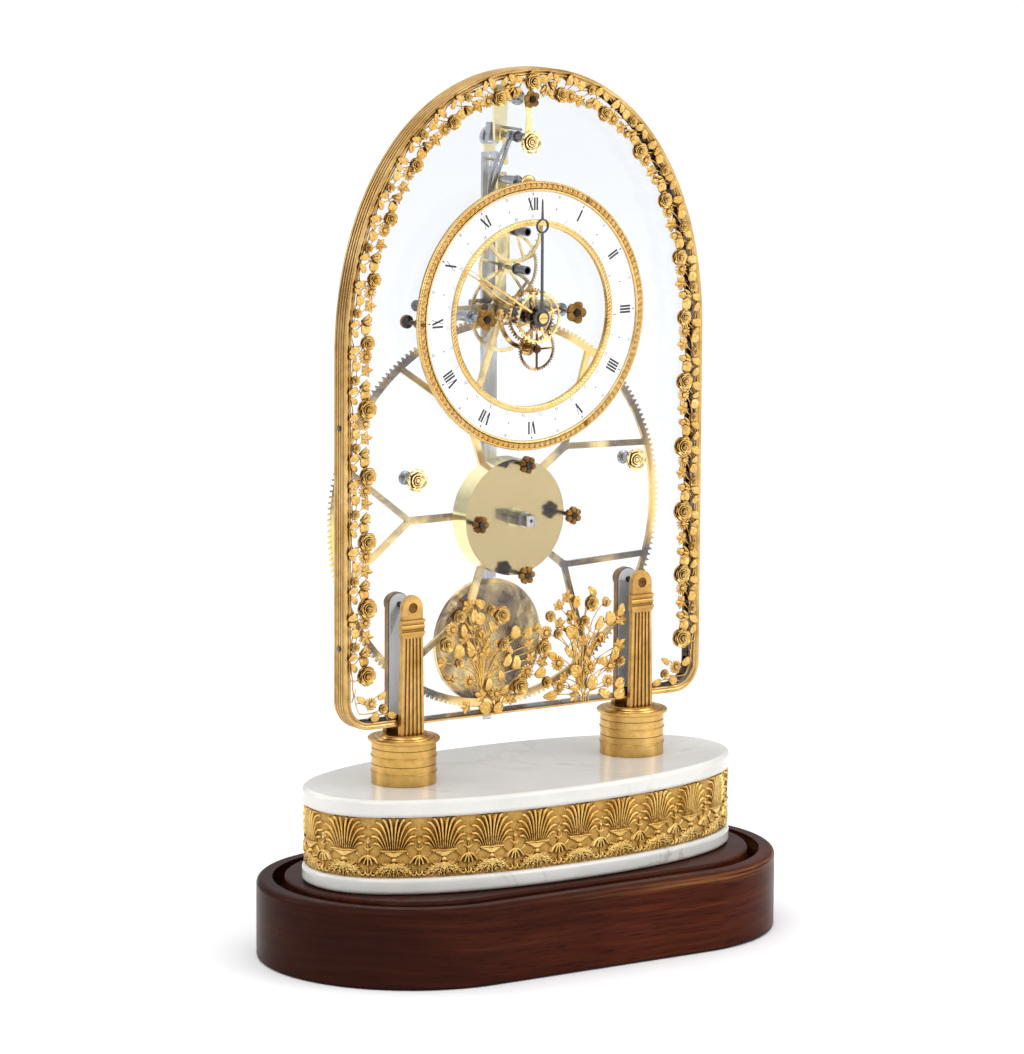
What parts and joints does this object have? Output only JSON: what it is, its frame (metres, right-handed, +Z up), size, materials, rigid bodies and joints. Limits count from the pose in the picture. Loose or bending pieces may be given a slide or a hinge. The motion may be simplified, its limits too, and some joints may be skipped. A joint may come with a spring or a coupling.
{
  "type": "skeleton clock",
  "caption": "Glass-plate skeleton clock: arched glass in a gilt band with visible train, enamel ring dial, great wheel and pendulum, on an oval marble base and wooden plinth.",
  "frame": {"origin": "centre of the wooden plinth's underside, on the glass plate's middle plane", "axes": "+Z up, +X to the right seen from the front, the dial faces -Y"},
  "size_m": [0.285, 0.155, 0.443],
  "materials": {
    "mahogany": "french polished dark mahogany",
    "marble": "polished white marble",
    "ormolu": "matt and burnished mercury gilding",
    "brass": "polished and lacquered brass",
    "bronzed_brass": "darkened brass",
    "steel": "polished steel, lightly tarnished",
    "blued_steel": "blued steel",
    "leather": "thin grey leather washer",
    "glass": "clear polished plate glass",
    "enamel": "white vitreous enamel with black painted numerals"
  },
  "bodies": {
    "root": {"plinth_rim": "mahogany", "plinth_board": "mahogany", "plinth_platform": "mahogany", "base_core": "mahogany", "marble_lower_slab": "marble", "marble_upper_slab": "marble", "frieze_band": "ormolu", "drum_pedestals": "ormolu", "front_pilasters": "ormolu", "garland_border": "ormolu", "bouquets": "ormolu", "rose_caps": "ormolu", "dial_bezel": "ormolu", "dial_inner_rim": "ormolu", "frame_band": "ormolu", "rear_pilasters": "brass", "dial_feet": "brass", "glass_bushes": "brass", "motion_cock": "brass", "rear_t_plate": "brass", "center_rear_cock": "brass", "barrel_drum": "brass", "barrel_cover": "brass", "suspension_bracket": "brass", "pillar_flower_nuts": "bronzed_brass", "barrel_screws": "bronzed_brass", "pedestal_studs": "steel", "pilaster_bolts": "steel", "frame_screws": "steel", "movement_pillars": "steel", "pillar_end_nuts": "steel", "mainspring": "steel", "pilaster_pads": "leather", "glass_plate": "glass", "dial_enamel_ring": "enamel"},
    "great_wheel": {"great_wheel": "brass", "click_spring": "steel"},
    "winding_arbor": {"winding_arbor": "steel", "ratchet_wheel": "steel"},
    "click": {"click": "steel"},
    "center_arbor": {"center_arbor": "steel", "center_wheel": "brass", "cannon_pinion": "steel", "minute_hand": "blued_steel", "minute_hand_screw": "brass"},
    "third_arbor": {"third_arbor": "steel", "third_wheel": "brass"},
    "escape_arbor": {"escape_arbor": "steel", "escape_wheel": "brass"},
    "minute_wheel": {"minute_wheel": "brass"},
    "hour_wheel": {"hour_wheel": "bronzed_brass", "hour_hand": "ormolu"},
    "date_wheel": {"date_wheel": "brass", "date_hand": "ormolu"},
    "pallets": {"pallet_arbor": "steel", "crutch": "steel"},
    "pendulum": {"pendulum_rod": "steel", "pendulum_bob": "brass", "rating_nut": "brass"}
  },
  "joints": [
    {"name": "center_arbor_turn", "type": "hinge", "parent": "root", "child": "center_arbor", "pos_m": [0, 0.016, 0.3194], "axis": [0, 1, 0], "continuous": true},
    {"name": "great_wheel_turn", "type": "hinge", "parent": "root", "child": "great_wheel", "pos_m": [0, 0.023, 0.2159], "axis": [0, 1, 0], "continuous": true},
    {"name": "winding_turn", "type": "hinge", "parent": "great_wheel", "child": "winding_arbor", "pos_m": [0, 0.01, 0.2159], "axis": [0, 1, 0], "continuous": true},
    {"name": "click_lift", "type": "hinge", "parent": "great_wheel", "child": "click", "pos_m": [-0.01438, 0.0194, 0.2242], "axis": [0, 1, 0], "range_deg": [-9, 0], "stiffness_Nm_per_rad": 0.0004, "deforming": ["click_spring"]},
    {"name": "third_arbor_turn", "type": "hinge", "parent": "root", "child": "third_arbor", "pos_m": [0, 0.0128, 0.34176], "axis": [0, 1, 0], "continuous": true},
    {"name": "escape_arbor_turn", "type": "hinge", "parent": "root", "child": "escape_arbor", "pos_m": [0, 0.0066, 0.36112], "axis": [0, 1, 0], "continuous": true},
    {"name": "minute_wheel_turn", "type": "hinge", "parent": "root", "child": "minute_wheel", "pos_m": [0, -0.0134, 0.3034], "axis": [0, 1, 0], "continuous": true},
    {"name": "hour_wheel_turn", "type": "hinge", "parent": "root", "child": "hour_wheel", "pos_m": [0, -0.0082, 0.3194], "axis": [0, 1, 0], "continuous": true},
    {"name": "date_wheel_turn", "type": "hinge", "parent": "root", "child": "date_wheel", "pos_m": [0, -0.015, 0.3194], "axis": [0, 1, 0], "continuous": true},
    {"name": "pendulum_swing", "type": "hinge", "parent": "root", "child": "pendulum", "pos_m": [0, 0.03, 0.408], "axis": [0, 1, 0], "range_deg": [-4, 4]},
    {"name": "pallet_rock", "type": "hinge", "parent": "root", "child": "pallets", "pos_m": [0, 0.01, 0.408], "axis": [0, 1, 0], "range_deg": [-4, 4]}
  ],
  "couplings": [
    {"joint": "great_wheel_turn", "follows": "center_arbor_turn", "ratio": -0.041667},
    {"joint": "third_arbor_turn", "follows": "center_arbor_turn", "ratio": -12},
    {"joint": "escape_arbor_turn", "follows": "center_arbor_turn", "ratio": 120},
    {"joint": "minute_wheel_turn", "follows": "center_arbor_turn", "ratio": -0.5},
    {"joint": "hour_wheel_turn", "follows": "center_arbor_turn", "ratio": 0.083333},
    {"joint": "pallet_rock", "follows": "pendulum_swing", "ratio": 1}
  ]
}
